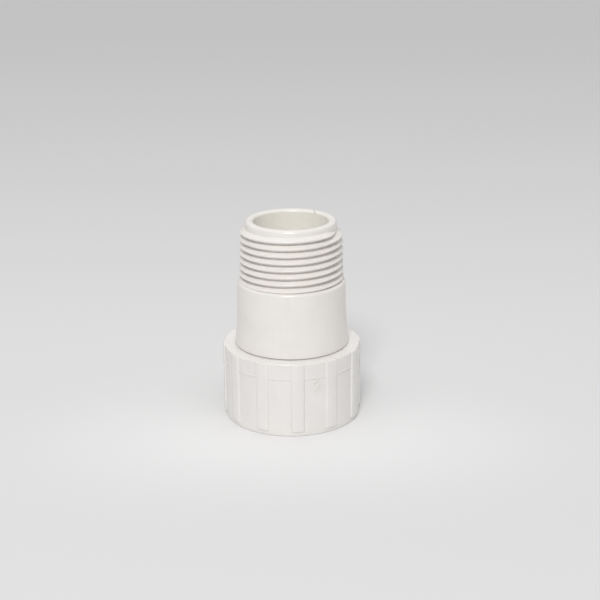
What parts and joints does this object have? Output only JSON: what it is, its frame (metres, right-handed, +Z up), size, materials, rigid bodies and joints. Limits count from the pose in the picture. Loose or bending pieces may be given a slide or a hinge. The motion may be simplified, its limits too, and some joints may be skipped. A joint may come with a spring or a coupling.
{
  "type": "hose adapter",
  "caption": "Plastic adapter with a tapered male pipe thread on one end and a ribbed swivel nut with a female hose thread and a rubber washer on the other.",
  "frame": {"origin": "centre of the nut's foot, on the surface that the adapter stands on", "axes": "+Z up along the waterway, from the hose thread towards the pipe thread; -Y is the front that the picture shows"},
  "size_m": [0.0358, 0.0358, 0.0518],
  "materials": {
    "body_plastic": "moulded white plastic, satin",
    "nut_plastic": "moulded white plastic, satin, with fine mould lines",
    "washer_rubber": "matt black rubber"
  },
  "bodies": {
    "adapter": {"adapter_body": "body_plastic"},
    "nut": {"swivel_nut": "nut_plastic", "hose_washer": "washer_rubber"}
  },
  "joints": [
    {"name": "nut_swivel", "type": "hinge", "parent": "adapter", "child": "nut", "pos_m": [0, 0, 0], "axis": [0, 0, 1], "continuous": true}
  ]
}
